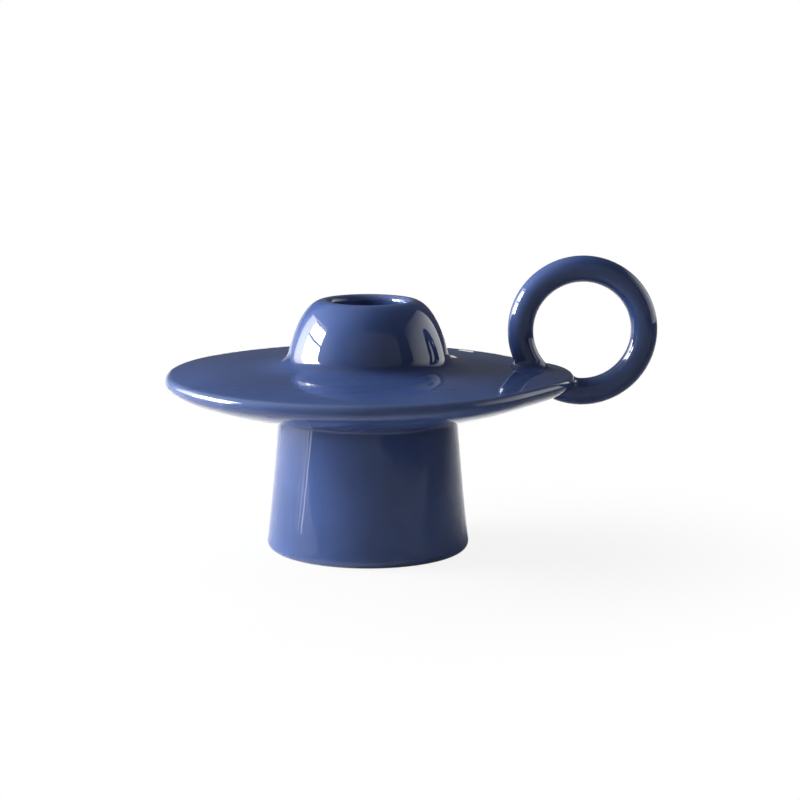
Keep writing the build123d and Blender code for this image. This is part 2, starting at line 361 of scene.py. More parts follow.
def profile():
    """Every stretch of the glazed skin, from the standing ring up to the bore's floor."""
    scene = bpy.context.scene
    foot, plate, dome, cup = scene.stick_foot, scene.stick_plate, scene.stick_dome, scene.stick_cup
    up = math.pi / 2

    # Foot
    base_centre = (foot.base_radius - foot.edge_round, foot.edge_round)
    edge = arc(base_centre, foot.edge_round, -up, foot.base_lean)
    neck = (foot.top_radius, foot.height)
    side = crossing(edge.points[-1], up + foot.base_lean, neck, up + foot.top_lean)
    wall = bezier(edge.points[-1], side, neck)

    # Plate
    rim_centre = (plate.radius - plate.rim_round, plate.rim_height)
    rim = arc(rim_centre, plate.rim_round, -plate.under_turn, up - plate.edge_angle)
    under_handle = crossing(neck, plate.under_angle, rim.points[0], up - plate.under_turn)
    under = bezier(neck, under_handle, rim.points[0])
    crown = np.array([dome.base_radius, dome.base_height])
    run = np.linalg.norm(rim.points[-1] - crown)
    outer_handle = rim.points[-1] - heading(-plate.edge_angle) * run * plate.outer_pull
    inner_handle = crown + heading(-plate.top_angle) * run * plate.inner_pull
    top = bezier(rim.points[-1], outer_handle, inner_handle, crown)

    # Dome, lip and bore
    lip_height = dome.base_height + dome.rise
    crest = (cup.bore_radius + cup.lip_round, lip_height)
    side_handle = (dome.base_radius * dome.side_in, dome.base_height + dome.rise * dome.side_up)
    shoulder = (crest[0] + (dome.base_radius - crest[0]) * dome.shoulder, lip_height)
    cover = bezier(crown, side_handle, shoulder, crest)
    lip_centre = (crest[0], lip_height - cup.lip_round)
    lip = arc(lip_centre, cup.lip_round, up, 2 * up)
    floor_height = lip_height - cup.bore_depth
    floor_centre = (cup.bore_radius - cup.floor_round, floor_height + cup.floor_round)
    bore = bezier(lip.points[-1], (cup.bore_radius, floor_centre[1]))
    bottom = arc(floor_centre, cup.floor_round, 0.0, -up)
    floor = bezier(bottom.points[-1], (0.0, floor_height))

    foot_slip, wall_end, under_start = hollow_round(wall, under, foot.seam_round)
    dome_slip, top_end, cover_start = hollow_round(top, cover, dome.seam_round)
    cup_radius = cup.bore_radius + cup.wall
    cover_split = np.interp(-cup_radius, -cover.points[:, 0], np.arange(len(cover.points)))
    return {
        "edge": edge,
        "wall": wall.cut(0, wall_end),
        "foot_slip": foot_slip,
        "under": under.cut(under_start, len(under.points) - 1),
        "rim": rim,
        "top": top.cut(0, top_end),
        "dome_slip": dome_slip,
        "cover": cover.cut(cover_start, cover_split),
        "crest": cover.cut(cover_split, len(cover.points) - 1),
        "lip": lip,
        "bore": bore,
        "bottom": bottom,
        "floor": floor,
        "spots": {
            # Thin spots on the rim's crease, the lip and the foot's lower edge: paler as thin glaze and as a
            # painted highlight
            "thin": [rim.part_way(0.72), lip.part_way(0.25), edge.part_way(0.5)],
            "pooled": [neck, crown, (cup.bore_radius, floor_height)],
        },
    }


def eased(value, low, high):
    """Nought below low, one above high, and a smooth rise between them."""
    t = np.clip((value - low) / (high - low), 0.0, 1.0)
    return t * t * (3.0 - 2.0 * t)


def nose_reach(azimuth):
    """How far the nose draws the rim out from its circle, at an angle about the plate's middle."""
    plate = bpy.context.scene.stick_plate
    middle = plate.nose_tip - plate.offset - plate.nose_radius
    lean = math.acos((plate.radius - plate.nose_radius) / middle)
    joint = (middle + plate.nose_radius * math.cos(lean), plate.nose_radius * math.sin(lean))
    turn = np.abs((azimuth + math.pi) % (math.tau) - math.pi)
    flank = plate.radius / np.cos(np.minimum(turn, lean) - lean)
    inside = np.maximum(plate.nose_radius**2 - (middle * np.sin(turn)) ** 2, 0.0)
    tip = middle * np.cos(turn) + np.sqrt(inside)
    return np.where(turn < math.atan2(joint[1], joint[0]), tip, flank) - plate.radius


def placed(radius, height, azimuth):
    """Where a point of the turned section ends up: the plate's round is set off, and has a nose."""
    scene = bpy.context.scene
    foot, plate = scene.stick_foot, scene.stick_plate
    shift = plate.offset * eased(radius, foot.top_radius - SHIFT_WIDTH, plate.radius)
    shift = shift * eased(height, foot.height - SHIFT_DEPTH, foot.height)
    follow = eased(radius, plate.nose_start, plate.radius - plate.rim_round)
    full = plate.nose_tip - plate.offset - plate.radius
    reach = nose_reach(azimuth)
    outer = radius + reach * follow
    lift = plate.nose_lift * reach / full * follow
    x, y = AXIS_X + shift + outer * np.cos(azimuth), outer * np.sin(azimuth)
    return np.stack([x, y, height + lift], -1)


def add_node(tree, kind, inputs=None, **settings):
    """A new node with its settings, and with each given input joined to an output or set."""
    node = tree.nodes.new(kind)
    for name, value in settings.items():
        setattr(node, name, value)
    for socket, source in (inputs or {}).items():
        if isinstance(source, bpy.types.NodeSocket):
            tree.links.new(source, node.inputs[socket])
        else:
            node.inputs[socket].default_value = source
    return node


def maths(tree, operation, first, second=0.0):
    """A math node's output."""
    return add_node(tree, "ShaderNodeMath", {0: first, 1: second}, operation=operation).outputs[0]


def eased_range(tree, value, low, high, start=0.0, end=1.0):
    """A value carried smoothly from one range to another."""
    names = ("Value", "From Min", "From Max", "To Min", "To Max")
    inputs = dict(zip(names, (value, low, high, start, end)))
    return add_node(tree, "ShaderNodeMapRange", inputs, interpolation_type="SMOOTHSTEP").outputs[0]


def split(tree, vector):
    """The three numbers of a vector."""
    return tuple(add_node(tree, "ShaderNodeSeparateXYZ", {0: vector}).outputs)


def polar(tree, radius, angle):
    """The two numbers of a place on a circle."""
    return [maths(tree, "MULTIPLY", radius, maths(tree, turn, angle)) for turn in ("COSINE", "SINE")]


def new_tree(name, inputs):
    """A Geometry Nodes tree with a geometry input and output, and the named inputs."""
    tree = bpy.data.node_groups.new(name, "GeometryNodeTree")
    tree.interface.new_socket("Geometry", in_out="OUTPUT", socket_type="NodeSocketGeometry")
    for label, kind in (("Geometry", "Geometry"), *inputs, ("Material", "Material")):
        tree.interface.new_socket(label, in_out="INPUT", socket_type=f"NodeSocket{kind}")
    return tree, tree.nodes.new("NodeGroupInput").outputs


def finish_tree(tree, given, mesh, x, y, z):
    """Ends a tree: moved points, welded seams, smooth shading and the piece's material."""
    point = add_node(tree, "ShaderNodeCombineXYZ", {"X": x, "Y": y, "Z": z}).outputs[0]
    moved = add_node(tree, "GeometryNodeSetPosition", {"Geometry": mesh, "Position": point})
    shape = moved.outputs[0]
    if "Weld" in given:
        weld = {"Geometry": shape, "Distance": given["Weld"]}
        shape = add_node(tree, "GeometryNodeMergeByDistance", weld).outputs[0]
    smooth = add_node(tree, "GeometryNodeSetShadeSmooth", {"Geometry": shape})
    real = add_node(tree, "GeometryNodeRealizeInstances", {"Geometry": smooth.outputs[0]})
    coat = {"Geometry": real.outputs[0], "Material": given["Material"]}
    coated = add_node(tree, "GeometryNodeSetMaterial", coat)
    add_node(tree, "NodeGroupOutput", {0: coated.outputs[0]})


def turning_tree():
    """Turns the section that an object's mesh holds round Z, as a potter's wheel does."""
    tree, given = new_tree("Turned Section", (("Segments", "Int"), ("Weld", "Float")))
    drawing = given["Geometry"]
    count = add_node(tree, "GeometryNodeAttributeDomainSize", {"Geometry": drawing})
    stations = count.outputs["Point Count"]
    rings = maths(tree, "ADD", given["Segments"], 1.0)
    size = {"Size X": 1.0, "Size Y": 1.0, "Vertices X": stations, "Vertices Y": rings}
    grid = add_node(tree, "GeometryNodeMeshGrid", size)
    place = tree.nodes.new("GeometryNodeInputPosition").outputs[0]
    along, round_share, _ = split(tree, place)
    along = maths(tree, "ADD", along, 0.5)
    last = maths(tree, "SUBTRACT", stations, 1.0)
    station = maths(tree, "ROUND", maths(tree, "MULTIPLY", along, last))
    picked = {"Geometry": drawing, "Value": place, "Index": station}
    sample = add_node(tree, "GeometryNodeSampleIndex", picked, data_type="FLOAT_VECTOR")
    radius, _, height = split(tree, sample.outputs[0])
    azimuth = maths(tree, "MULTIPLY", maths(tree, "ADD", round_share, 0.5), math.tau)
    finish_tree(tree, given, grid.outputs["Mesh"], *polar(tree, radius, azimuth), height)


def bending_tree():
    """Bends a round tube along an arc, with a radius that changes from its start to its end."""
    lengths = [(label, "Float") for label in TUBE_SETTINGS.values()]
    tree, given = new_tree("Bent Tube", [*lengths, ("Steps", "Int"), ("Sides", "Int")])
    size = {"Vertices": given["Sides"], "Side Segments": given["Steps"], "Radius": 1.0, "Depth": 1.0}
    tube = add_node(tree, "GeometryNodeMeshCylinder", size, fill_type="TRIANGLE_FAN")
    place = tree.nodes.new("GeometryNodeInputPosition").outputs[0]
    out, aside, along = split(tree, place)
    along = maths(tree, "ADD", along, 0.5)
    turn = maths(tree, "SUBTRACT", given["Last Angle"], given["First Angle"])
    angle = maths(tree, "ADD", given["First Angle"], maths(tree, "MULTIPLY", along, turn))
    early = eased_range(tree, along, 0.0, CROWN_SHARES[0], given["Start Tube"], given["Crown Tube"])
    change = maths(tree, "SUBTRACT", given["End Tube"], given["Crown Tube"])
    radius = maths(tree, "ADD", early, eased_range(tree, along, CROWN_SHARES[1], 1.0, 0.0, change))
    reach = maths(tree, "ADD", given["Ring Radius"], maths(tree, "MULTIPLY", radius, out))
    x, z = polar(tree, reach, angle)
    finish_tree(tree, given, tube.outputs["Mesh"], x, maths(tree, "MULTIPLY", radius, aside), z)


def new_object(name, data):
    """A new object in the scene, at the origin."""
    thing = bpy.data.objects.new(name, data)
    bpy.context.scene.collection.objects.link(thing)
    return thing


def run_tree(name, mesh, tree, values):
    """The plain mesh that a tree makes of a mesh, with its inputs set by their identifiers."""
    thing = new_object(name, mesh)
    modifier = thing.modifiers.new("Shape", "NODES")
    modifier.node_group = tree
    for item in tree.interface.items_tree:
        if item.name in values:
            modifier[item.identifier] = values[item.name]
    depsgraph = bpy.context.evaluated_depsgraph_get()
    depsgraph.update()
    made = bpy.data.meshes.new_from_object(thing.evaluated_get(depsgraph))
    made.name = name
    thing.modifiers.remove(modifier)
    thing.data = made
    bpy.data.meshes.remove(mesh)
    return thing


def positions(mesh):
    """The mesh's points as an array."""
    flat = np.empty(len(mesh.vertices) * 3)
    mesh.vertices.foreach_get("co", flat)
    return flat.reshape(-1, 3)


def set_points(mesh, points, normals):
    """Moves a mesh's points and gives each the normal of the true surface, with faces outward."""
    shape = bmesh.new()
    shape.from_mesh(mesh)
    inside_out = shape.calc_volume(signed=True) < 0
    shape.free()
    if inside_out:
        mesh.flip_normals()
    mesh.vertices.foreach_set("co", np.asarray(points, np.float32).ravel())
    mesh.update()
    mesh.normals_split_custom_set_from_vertices(normals)


def write_weights(mesh, **weights):
    """Keeps where the glaze is thin and painted with a highlight, pooled or missing, as attributes that the
    glaze reads.
    """
    for label, values in weights.items():
        layer = mesh.attributes.new(label, "FLOAT", "POINT")
        layer.data.foreach_set("value", np.asarray(values, np.float32))


def near(radius, height, spots, spread):
    """One at the given spots of the section, fading away from them."""
    gaps = [(radius - r) ** 2 + (height - z) ** 2 for r, z in spots]
    return np.clip(np.sum([np.exp(-gap / (2 * spread**2)) for gap in gaps], axis=0), 0.0, 1.0)


def dress(piece, *nodes):
    """Puts a finished piece over the frame's nodes that it stands for."""
    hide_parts(*nodes)
    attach(piece, "root")
    return piece


def turned_normals(radius, height, azimuth, along):
    """The true normals of turned points, from small steps along the section and round it."""
    step, turn = 1e-6, 1e-4
    ahead = placed(radius + step * along[:, 0], height + step * along[:, 1], azimuth)
    behind = placed(radius - step * along[:, 0], height - step * along[:, 1], azimuth)
    left, right = placed(radius, height, azimuth + turn), placed(radius, height, azimuth - turn)
    level = np.zeros(len(radius))
    pole = np.stack([level, level, -along[:, 0]], 1)
    return unit(np.where((radius < ON_AXIS)[:, None], pole, np.cross(left - right, ahead - behind)))


def turned_piece(name, node, stretches, segments=TURNED_SEGMENTS, closed=True):
    """One closed, turned piece for a node, from stretches of a section that run into each other."""
    stretches = [stretch.spaced() for stretch in stretches]
    points = np.concatenate([stretch.points for stretch in stretches])
    along = np.concatenate([stretch.along for stretch in stretches])
    apart = np.linalg.norm(points - np.roll(points, 1, axis=0), axis=1) > SAME_STATION
    points, along = points[apart], along[apart]
    drawn = np.concatenate([points, points[:1]]) if closed else points
    line = bpy.data.meshes.new(name)
    line.from_pydata([(r, 0.0, z) for r, z in drawn], [], [])
    values = {"Segments": segments, "Weld": WELD, "Material": glaze()}
    piece = run_tree(name, line, bpy.data.node_groups["Turned Section"], values)
    turned = positions(piece.data)
    radius, height = np.hypot(turned[:, 0], turned[:, 1]), turned[:, 2]
    azimuth = np.arctan2(turned[:, 1], turned[:, 0])
    lookup = KDTree(len(points))
    for number, (r, z) in enumerate(points):
        lookup.insert((r, 0.0, z), number)
    lookup.balance()
    along = along[[lookup.find((r, 0.0, z))[1] for r, z in zip(radius, height)]]
    normals = turned_normals(radius, height, azimuth, along)
    set_points(piece.data, placed(radius, height, azimuth), normals)
    spots = profile()["spots"]
    write_weights(
        piece.data,
        thin=near(radius, height, spots["thin"], THIN_AND_HIGHLIGHT_SPREAD),
        pooled=near(radius, height, spots["pooled"], POOL_SPREAD),
        bare=1.0 - eased(height, *BARE_HEIGHTS),
    )
    return dress(piece, node)


def buried_back(radius, height, depth, rise):
    """The back of a ring of slip, inside the clay behind its seam."""
    inner = radius - depth
    return bezier((inner, height + rise), (inner, height - rise), count=3)


def tube_radius(angle):
    """The ring's tube radius at an angle along the ring, as the bending tree makes it."""
    ring = bpy.context.scene.stick_ring
    along = (angle - ring.first_angle) / (ring.last_angle - ring.first_angle)
    early = ring.tube_start + (ring.tube_crown - ring.tube_start) * eased(along, 0.0, CROWN_SHARES[0])
    return early + (ring.tube_end - ring.tube_crown) * eased(along, CROWN_SHARES[1], 1.0)


def ring_middle():
    """The middle of the ring's circle."""
    reach = bpy.context.scene.stick_ring.radius + RING_TUBE_RADIUS
    return Vector((RING_BOX[1].x - reach, 0.0, RING_BOX[1].z - reach))


def ring_spokes(points):
    """For points near the ring: where the tube's middle line is nearest."""
    middle = np.array(ring_middle())
    offset = (np.asarray(points) - middle) * (1.0, 0.0, 1.0)
    flat = np.linalg.norm(offset, axis=1, keepdims=True)
    return middle + offset * (bpy.context.scene.stick_ring.radius / np.maximum(flat, 1e-9))


def ring_distance(points):
    """How far points lie outside the ring's tube."""
    middles = ring_spokes(points)
    offset = middles - np.array(ring_middle())
    angle = np.arctan2(offset[:, 2], offset[:, 0])
    last_angle = bpy.context.scene.stick_ring.last_angle
    angle = np.where(angle < last_angle, angle + math.tau, angle)
    return np.linalg.norm(np.asarray(points) - middles, axis=1) - tube_radius(angle)


def plate_tree():
    """A search tree of the finished plate's faces."""
    mesh = bpy.data.objects["glazed_plate"].data
    mesh.calc_loop_triangles()
    corners = [vertex.co for vertex in mesh.vertices]
    return BVHTree.FromPolygons(corners, [tuple(t.vertices) for t in mesh.loop_triangles])


def plate_distance(tree, point):
    """How far a point lies outside the plate, and the nearest place on it."""
    place, normal, _, gap = tree.find_nearest(point)
    outside = (point - place).dot(normal) >= 0.0
    return (gap if outside else -gap), place


def root_pool(points, tree=None):
    """How much the glaze gathers where the ring meets the plate."""
    gap = ring_distance(points) ** 2
    if tree is not None:
        gap = gap + np.array([plate_distance(tree, Vector(p))[0] for p in points]) ** 2
    return np.exp(-gap / (2 * ROOT_SPREAD**2))


def ball_place(angle, side, ball):
    """The middle of a ball that rolls on the tube, at an angle of the ring and of its tube."""
    reach = tube_radius(angle) + ball
    out = bpy.context.scene.stick_ring.radius + reach * math.cos(side)
    flat = Vector((out * math.cos(angle), reach * math.sin(side), out * math.sin(angle)))
    return ring_middle() + flat


def seam_balls(tree, balls, free, inside, halvings=24, smoothings=6):
    """The balls that touch both the tube and the plate, all the way round one root of the ring."""
    middles, touches = [], []
    for side, ball in zip(np.linspace(0.0, math.tau, len(balls), endpoint=False), balls):
        low, high = free, inside
        for _ in range(halvings):
            middle = (low + high) / 2
            gap, place = plate_distance(tree, ball_place(middle, side, ball))
            low, high = (middle, high) if gap > ball else (low, middle)
        centre = ball_place(low, side, ball)
        middles.append(centre)
        touches.append((place - centre).normalized())
    middles, touches = np.array(middles), np.array(touches)
    for _ in range(smoothings):
        middles, touches = (
            (np.roll(rows, 1, 0) + 2 * rows + np.roll(rows, -1, 0)) / 4 for rows in (middles, touches)
        )
    return middles, unit(touches)


def slip_piece(name, node, tree, rounds, angles):
    """The hollow round of slip about one root, fuller inside the ring and closed behind."""
    sides = np.linspace(0.0, math.tau, SLIP_PLACES, endpoint=False)
    inner_share = (0.5 - 0.5 * np.cos(sides)) ** 2
    balls = rounds[0] + (rounds[1] - rounds[0]) * inner_share
    middles, to_plate = seam_balls(tree, balls, *(math.radians(angle) for angle in angles))
    ball = balls[:, None]
    to_tube = unit(ring_spokes(middles) - middles)
    turn = np.arccos(np.clip(np.sum(to_tube * to_plate, axis=1), -1.0, 1.0))[:, None]
    rows, normals = [], []
    for along in np.linspace(0.0, 1.0, SLIP_STEPS + 1):
        spoke = (to_tube * np.sin((1 - along) * turn) + to_plate * np.sin(along * turn)) / np.sin(turn)
        rows.append(middles + spoke * ball)
        normals.append(-spoke)
    behind = unit(to_tube + to_plate)
    rows.append(middles + behind * ball / np.cos(turn / 2) * SLIP_OVERRUN)
    normals.append(-behind)
    vertices = np.concatenate(rows)
    faces = []
    for row in range(len(rows)):
        next_row = (row + 1) % len(rows)
        for k in range(SLIP_PLACES):
            corners = ((row, k), (row, k + 1), (next_row, k + 1), (next_row, k))
            faces.append([r * SLIP_PLACES + c % SLIP_PLACES for r, c in corners])
    mesh = bpy.data.meshes.new(name)
    mesh.from_pydata(vertices.tolist(), [], faces)
    mesh.polygons.foreach_set("use_smooth", [True] * len(faces))
    set_points(mesh, vertices, np.concatenate(normals))
    mesh.materials.append(glaze())
    write_weights(mesh, pooled=root_pool(vertices, tree))
    dress(new_object(name, mesh), node)


def blank_tree(owner):
    """The tree of a material or a world, with nothing in it."""
    owner.use_nodes = True
    owner.node_tree.nodes.clear()
    return owner.node_tree


def new_material(name):
    """A new material and its blank tree."""
    material = bpy.data.materials.new(name)
    return material, blank_tree(material)


def surface(tree, source):
    """Joins what shades a material to its output."""
    add_node(tree, "ShaderNodeOutputMaterial", {"Surface": source.outputs[0]})


def glaze():
    """The blue glaze: clouded a little, thin and pale over edges with a painted highlight there, deep in the
    seams, glossy.
    """
    if "Blue Glaze" in bpy.data.materials:
        return bpy.data.materials["Blue Glaze"]
    finish = bpy.context.scene.stick_glaze
    material, tree = new_material("Blue Glaze")
    where = tree.nodes.new("ShaderNodeTexCoord").outputs["Object"]

    def noise(scale, detail, stretch=(1.0, 1.0, 1.0)):
        """Cloudy noise on the object's own coordinates."""
        mapping = add_node(tree, "ShaderNodeMapping", {"Vector": where, "Scale": stretch})
        inputs = {"Vector": mapping.outputs[0], "Scale": scale, "Detail": detail}
        return add_node(tree, "ShaderNodeTexNoise", inputs).outputs["Fac"]

    def mixed(amount, first, second):
        """A blend of two colours."""
        inputs = {0: amount, 6: first, 7: second}
        return add_node(tree, "ShaderNodeMix", inputs, data_type="RGBA").outputs[2]

    def weight(label, most=1.0):
        """An attribute of the mesh, brought down to at most a given share."""
        layer = add_node(tree, "ShaderNodeAttribute", attribute_name=label)
        return maths(tree, "MULTIPLY", layer.outputs["Fac"], most)

    def shade(tone, factor=1.0):
        """A colour, darker or paler by a factor, with no transparency."""
        return tuple(channel * factor for channel in tone) + (1.0,)

    pale, deep = shade(finish.body, factor=1.16), shade(finish.body, factor=0.86)
    clouds = mixed(eased_range(tree, noise(scale=26.0, detail=3.0), 0.35, 0.65), deep, pale)
    upright = noise(scale=210.0, detail=2.0, stretch=(1.0, 1.0, 0.12))
    runs = mixed(eased_range(tree, upright, 0.3, 0.7, end=0.35), clouds, shade(finish.body))
    gathered = mixed(weight("pooled", most=0.75), runs, shade(finish.pooled))
    # Paler over edges: thin glaze, and a painted highlight along them
    thin_glaze_and_painted_highlight = mixed(weight("thin", most=0.38), gathered, shade(finish.thin))
    grain = mixed(noise(scale=900.0, detail=4.0), shade(finish.clay), shade(finish.dark_clay))
    bare = weight("bare")
    least, most = finish.roughness * 0.8, finish.roughness * 1.25
    sheen = eased_range(tree, noise(scale=60.0, detail=2.0), 0.3, 0.7, least, most)
    rough = add_node(tree, "ShaderNodeMix", {0: bare, 2: sheen, 3: finish.clay_roughness})
    waves = {"Strength": finish.wave, "Distance": 1.0 * MM, "Height": noise(scale=120.0, detail=1.0)}
    shader = add_node(tree, "ShaderNodeBsdfPrincipled", {
        "Base Color": mixed(bare, thin_glaze_and_painted_highlight, grain),
        "Roughness": rough.outputs[0],
        "IOR": 1.5,
        "Normal": add_node(tree, "ShaderNodeBump", waves).outputs[0],
    })
    surface(tree, shader)
    return material


class ChamberstickFoot(bpy.types.Operator):
    """Makes the hollow tapered foot and the slip under the plate"""
    bl_idname = "chamberstick.foot"
    bl_label = "Make the Foot"

    def execute(self, context):
        foot = context.scene.stick_foot
        skin = profile()
        inner_base = foot.base_radius - foot.wall
        inner_centre = (inner_base + foot.inner_round, foot.inner_round)
        inner = arc(inner_centre, foot.inner_round, math.pi, 1.5 * math.pi)
        inner_wall = bezier((foot.top_radius - foot.wall, foot.height), inner.points[0])
        ring = bezier(inner.points[-1], skin["edge"].points[0])
        stretches = [skin["edge"], skin["wall"], inner_wall, inner, ring]
        turned_piece("glazed_foot", "pedestal_foot", stretches)
        buried = buried_back(foot.top_radius, foot.height, depth=1.0 * MM, rise=0.6 * MM)
        turned_piece("foot_slip", "foot_seam_slip", [skin["foot_slip"], buried])
        return {"FINISHED"}


class ChamberstickPlate(bpy.types.Operator):
    """Makes the drip plate with its nose and its hollow"""
    bl_idname = "chamberstick.plate"
    bl_label = "Make the Plate"

    def execute(self, context):
        foot, plate, dome = context.scene.stick_foot, context.scene.stick_plate, context.scene.stick_dome
        skin = profile()
        neck_radius = foot.top_radius - foot.wall
        tip = (plate.radius + plate.offset - plate.hollow_rim, plate.rim_height - plate.hollow_drop)
        edge = arc(tip, plate.hollow_round, math.pi / 2, plate.under_angle - math.pi / 2)
        roof = bezier((dome.base_radius - dome.wall, dome.base_height - plate.wall), edge.points[0])
        floor = bezier(edge.points[-1], (neck_radius, foot.height + plate.floor_rise))
        throat = bezier(floor.points[-1], (neck_radius, foot.height))
        stretches = [skin["under"], skin["rim"], skin["top"], roof, edge, floor, throat]
        mesh = turned_piece("glazed_plate", "drip_plate", stretches, PLATE_SEGMENTS).data
        for point, pool in zip(mesh.attributes["pooled"].data, root_pool(positions(mesh))):
            point.value = max(point.value, pool)
        return {"FINISHED"}


class ChamberstickDome(bpy.types.Operator):
    """Makes the dome round the socket and the slip at its base"""
    bl_idname = "chamberstick.dome"
    bl_label = "Make the Dome"

    def execute(self, context):
        dome, cup = context.scene.stick_dome, context.scene.stick_cup
        skin = profile()
        lip_height = dome.base_height + dome.rise
        inner_radius = dome.base_radius - dome.wall
        peak = (cup.bore_radius + cup.wall, lip_height - dome.wall)
        side = (inner_radius, dome.base_height + dome.wall / 2)
        shoulder = (peak[0] + (inner_radius - peak[0]) * dome.inner_shoulder, peak[1])
        handle = (inner_radius * dome.inner_in, dome.base_height + dome.rise * dome.inner_up)
        inner = bezier(peak, shoulder, handle, side)
        skirt = bezier(side, (inner_radius, dome.base_height - dome.wall))
        stretches = [skin["cover"], inner, skirt]
        turned_piece("glazed_dome", "socket_dome", stretches)
        buried = buried_back(dome.base_radius, dome.base_height, depth=1.2 * MM, rise=1.2 * MM)
        turned_piece("dome_slip", "dome_seam_slip", [skin["dome_slip"], buried])
        return {"FINISHED"}


class ChamberstickCup(bpy.types.Operator):
    """Makes the candle's cup with its rolled lip, bore and floor"""
    bl_idname = "chamberstick.cup"
    bl_label = "Make the Cup"

    def execute(self, context):
        dome, cup = context.scene.stick_dome, context.scene.stick_cup
        skin = profile()
        outer = cup.bore_radius + cup.wall
        under = dome.base_height + dome.rise - cup.bore_depth - cup.floor
        corner = (outer - cup.corner_round, under + cup.corner_round)
        base = bezier((0.0, under), (corner[0], under))
        heel = arc(corner, cup.corner_round, -math.pi / 2, 0.0)
        wall = bezier(heel.points[-1], (outer, dome.base_height + dome.rise - dome.wall))
        inside = [skin[label] for label in ("crest", "lip", "bore", "bottom", "floor")]
        turned_piece("glazed_cup", "candle_cup", [base, heel, wall, *inside], CUP_SEGMENTS, closed=False)
        return {"FINISHED"}


class ChamberstickRing(bpy.types.Operator):
    """Bends the finger ring and wipes the slip round its two roots"""
    bl_idname = "chamberstick.ring"
    bl_label = "Make the Finger Ring"

    def execute(self, context):
        ring = context.scene.stick_ring
        values = {label: getattr(ring, setting) for setting, label in TUBE_SETTINGS.items()}
        values.update(Steps=TUBE_STEPS, Sides=TUBE_SIDES, Material=glaze())
        seed = bpy.data.meshes.new("seed")
        piece = run_tree("finger_ring_tube", seed, bpy.data.node_groups["Bent Tube"], values)
        points = positions(piece.data) + np.array(ring_middle())
        set_points(piece.data, points, unit(points - ring_spokes(points), least=1e-9))
        tree = plate_tree()
        write_weights(piece.data, pooled=root_pool(points, tree))
        dress(piece, "finger_ring")
        upper, lower = (ring.upper_slip, ring.upper_fill), (ring.lower_slip, ring.lower_fill)
        slip_piece("ring_upper_slip", "ring_upper_seam_slip", tree, upper, UPPER_ROOT)
        slip_piece("ring_lower_slip", "ring_lower_seam_slip", tree, lower, LOWER_ROOT)
        return {"FINISHED"}


def soft_light(name, radiance):
    """A material that only shines, more or less by the mesh's own levels."""
    material, tree = new_material(name)
    levels = add_node(tree, "ShaderNodeAttribute", attribute_name="level").outputs["Fac"]
    glow = add_node(tree, "ShaderNodeEmission", {"Color": levels, "Strength": radiance})
    surface(tree, glow)
    return material


def lit_panel(name, sides, radiance, levels=EVEN, seen_by="both"):
    """A flat soft light that the camera doesn't see, with its levels row by row from below.

    Its corner and two sides are given in lamp distances.
    """
    stage = bpy.context.scene.stick_stage
    base = Vector((AXIS_X, 0.0, stage.level))
    corner, across, up = (Vector(side) * stage.reach for side in sides)
    rows, columns = len(levels), len(levels[0])
    points, faces = [], []
    for row in range(rows):
        for column in range(columns):
            points.append(base + corner + across * column / (columns - 1) + up * row / (rows - 1))
            if row and column:
                last = row * columns + column
                faces.append((last, last - 1, last - 1 - columns, last - columns))
    mesh = bpy.data.meshes.new(name)
    mesh.from_pydata([tuple(point) for point in points], [], faces)
    layer = mesh.attributes.new("level", "FLOAT", "POINT")
    layer.data.foreach_set("value", np.ravel(levels))
    mesh.materials.append(soft_light(name, radiance))
    panel = new_object(name, mesh)
    panel.visible_camera = False
    panel.visible_diffuse = seen_by != "reflections"
    panel.visible_glossy = seen_by != "surfaces"
    panel.visible_shadow = seen_by == "both"


def mirrored_panel(name, sides, radiance, levels=EVEN):
    """A panel that is seen in reflections alone."""
    lit_panel(name, sides, radiance, levels, seen_by="reflections")


def window_light(stage):
    """A window on the left with its bars and lintel, the pale reveal beyond and the wall before it."""
    wall_x, bar, near_side, far_side = -1, 0.02, -0.194, 0.384
    low, middle, high, lintel_foot, lintel_rise = 0.04, 0.354, 0.603, 0.643, 0.037
    columns = ((near_side, 0.157), (0.195, far_side))
    rows = ((low, middle - bar), (middle + bar, high))
    for column, (first, last) in enumerate(columns):
        for row, (bottom, top) in enumerate(rows):
            sides = (wall_x, first, bottom), (0, last - first, 0), (0, 0, top - bottom)
            lit_panel(f"pane_{column}_{row}", sides, stage.window, seen_by="surfaces")
            mirrored_panel(f"glint_{column}_{row}", sides, stage.glint)
    lintel = (wall_x, near_side, lintel_foot), (0, far_side - near_side, 0), (0, 0, lintel_rise)
    lit_panel("lintel", lintel, stage.reveal * 0.7)
    reveal = (wall_x, 0.4, 0.02), (0, 0.57, 0), (0, 0, 0.635)
    lit_panel("reveal", reveal, stage.reveal, [(1.0, 0.8, 0.6, 0.4)] * 2)
    near_wall = (wall_x, -1.7, -0.045), (0, 1.49, 0), (0, 0, 0.67)
    mirrored_panel("near_wall", near_wall, stage.wall, levels=[(0.1, 0.15, 0.3, 0.7, 1.5)] * 2)


def wall_light(stage):
    """The glow on the left wall and on the ceiling, which is stronger on surfaces than mirrored."""
    glow = (0.2, 0.5, 1.0, 1.0, 0.5)
    levels = [glow, glow, (0.2, 0.5, 1.0, 0.8, 0.4), (0.15, 0.4, 0.7, 0.5, 0.3)]
    lit_panel("left_wall", ((-1.25, -1.6, -0.05), (0, 3.4, 0), (0, 0, 1.65)), stage.wall, levels)
    ceiling = (-1.25, -1.6, 1.62), (1.5, 0, 0), (0, 4.2, 0)
    near_row = (0.12, 0.1, 0.06, 0.0)
    mirrored = [near_row, (0.6, 0.5, 0.3, 0.05), (0.55, 0.45, 0.3, 0.05), (0.25, 0.2, 0.1, 0.0)]
    felt = [near_row, (1.2, 1.1, 0.8, 0.2), (1.1, 1.0, 0.8, 0.2), (0.4, 0.3, 0.2, 0.0)]
    mirrored_panel("ceiling", ceiling, stage.wall, levels=mirrored)
    lit_panel("ceiling_glow", ceiling, stage.wall, felt, seen_by="surfaces")


